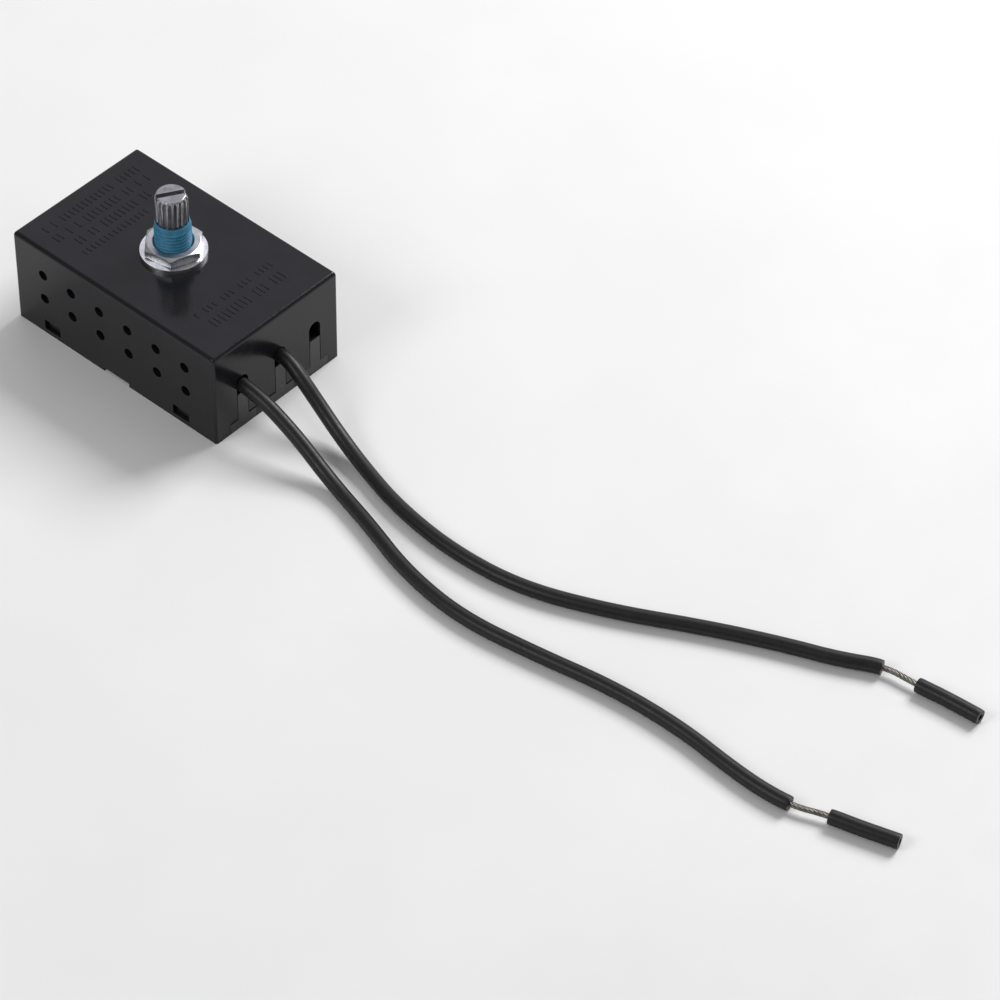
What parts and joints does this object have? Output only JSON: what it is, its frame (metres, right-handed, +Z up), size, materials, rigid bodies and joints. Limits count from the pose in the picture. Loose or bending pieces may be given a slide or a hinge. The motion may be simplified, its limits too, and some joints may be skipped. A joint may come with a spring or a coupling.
{
  "type": "rotary lamp dimmer module",
  "caption": "Black clip-together box holding a rotary dimmer with splined metal shaft, threaded bushing, panel nut and washer, and stranded leads leaving one end.",
  "frame": {"origin": "bottom centre of the case, on the axis of the shaft", "axes": "+Z up along the shaft, +X towards the end the leads leave, Y across the case"},
  "size_m": [0.2007, 0.0444, 0.0344],
  "materials": {
    "case_black": "smooth black, slightly glossy",
    "base_black": "smooth black",
    "board": "tan paper laminate",
    "zinc_steel": "zinc plated",
    "shaft_metal": "bright drawn",
    "bushing_blue": "teal blue, satin",
    "clip_steel": "spring steel",
    "rotor_plastic": "natural",
    "spring_bronze": "spring bronze",
    "carbon": "printed carbon",
    "phenolic": "phenolic",
    "tinned": "tinned",
    "control_plastic": "moulded",
    "brass_parts": "plain",
    "sink_aluminium": "mill finish",
    "package_black": "moulded epoxy",
    "film_red": "dipped",
    "film_yellow": "boxed",
    "diac_glass": "glass",
    "resistor_tan": "lacquer",
    "ferrite": "ferrite",
    "magnet_wire": "enamelled copper",
    "solder": "solder",
    "lead_pvc": "black insulation"
  },
  "bodies": {
    "case": {"housing_cover": "case_black", "base_plate": "base_black", "circuit_board": "board", "control_frame": "zinc_steel", "threaded_bushing": "bushing_blue", "resistive_track": "carbon", "track_wafer": "phenolic", "control_terminals": "tinned", "rotor_chamber": "control_plastic", "switch_cup": "control_plastic", "leaf_post": "brass_parts", "fixed_contact": "brass_parts", "heat_sink": "sink_aluminium", "triac": "package_black", "triac_pins": "tinned", "sink_screw": "zinc_steel", "sink_nut": "zinc_steel", "film_capacitor": "film_red", "film_capacitor_pins": "tinned", "timing_capacitor": "film_yellow", "timing_capacitor_pins": "tinned", "diac": "diac_glass", "diac_legs": "tinned", "resistor": "resistor_tan", "resistor_legs": "tinned", "choke_core": "ferrite", "choke_winding": "magnet_wire", "choke_cradles": "control_plastic", "lead_post_front": "brass_parts", "lead_post_rear": "brass_parts", "solder_joints": "solder", "lead_conductor_front": "tinned", "lead_insulation_front": "lead_pvc", "cut_slug_front": "lead_pvc", "lead_conductor_rear": "tinned", "lead_insulation_rear": "lead_pvc", "cut_slug_rear": "lead_pvc"},
    "control": {"control_shaft": "shaft_metal", "retaining_clip": "clip_steel", "rotor": "rotor_plastic", "wiper": "spring_bronze", "switch_cam": "rotor_plastic"},
    "contact_leaf": {"switch_leaf": "spring_bronze"},
    "washer": {"flat_washer": "zinc_steel"},
    "nut": {"hex_nut": "zinc_steel"}
  },
  "joints": [
    {"name": "shaft_turn", "type": "hinge", "parent": "case", "child": "control", "pos_m": [0, 0, 0.03], "axis": [0, 0, 1], "range_deg": [-300, 0]},
    {"name": "washer_lift", "type": "slide", "parent": "case", "child": "washer", "axis": [0, 0, 1], "range_m": [0, 0.00495]},
    {"name": "nut_spin", "type": "hinge", "parent": "washer", "child": "nut", "pos_m": [0, 0, 0.0224], "axis": [0, 0, 1], "range_deg": [0, 2376]},
    {"name": "leaf_flex", "type": "hinge", "parent": "case", "child": "contact_leaf", "pos_m": [-0.0028, 0.0053, 0.0116], "axis": [0, 0, 1], "range_deg": [0, 4], "stiffness_Nm_per_rad": 0.01}
  ],
  "couplings": [
    {"joint": "nut_spin", "follows": "washer_lift", "rad_per_m": 8377.6}
  ]
}
